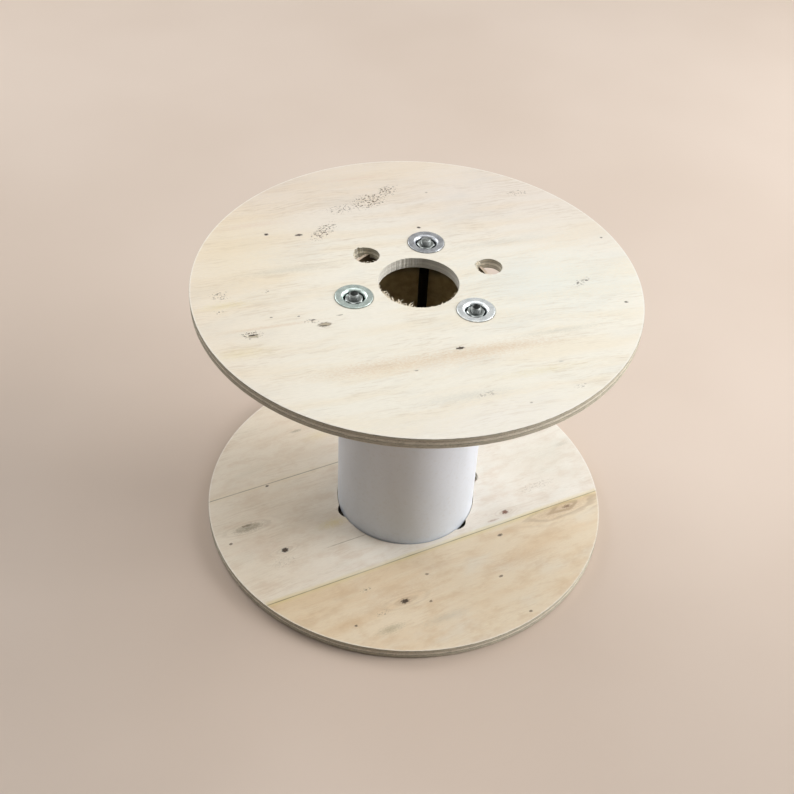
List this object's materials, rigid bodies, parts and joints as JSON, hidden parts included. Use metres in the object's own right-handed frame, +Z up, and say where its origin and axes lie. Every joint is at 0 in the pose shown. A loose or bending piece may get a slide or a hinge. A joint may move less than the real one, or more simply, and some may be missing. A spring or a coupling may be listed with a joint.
{
  "type": "cable drum",
  "caption": "Small plywood cable drum standing on end: two thin round flanges pulled onto a white fibre-tube barrel by tie bolts, with an open arbour hole.",
  "frame": {"origin": "on the drum's axis, on the floor, in the plane of the lower cup washers' rims", "axes": "+Z up the drum's axis; +Y towards the back of the picture, +X to its right"},
  "size_m": [0.355, 0.355, 0.2522],
  "materials": {
    "plywood": "raw sanded veneer",
    "fibre_tube": "satin white outside, brown inside",
    "zinc": "zinc plated"
  },
  "bodies": {
    "root": {"flange_top": "plywood", "flange_bottom": "plywood", "barrel": "fibre_tube", "tie_bolt_1": "zinc", "tie_bolt_2": "zinc", "tie_bolt_3": "zinc", "nut_1": "zinc", "nut_2": "zinc", "nut_3": "zinc", "cup_washer_top_1": "zinc", "cup_washer_top_2": "zinc", "cup_washer_top_3": "zinc", "cup_washer_bottom_1": "zinc", "cup_washer_bottom_2": "zinc", "cup_washer_bottom_3": "zinc"}
  },
  "joints": []
}
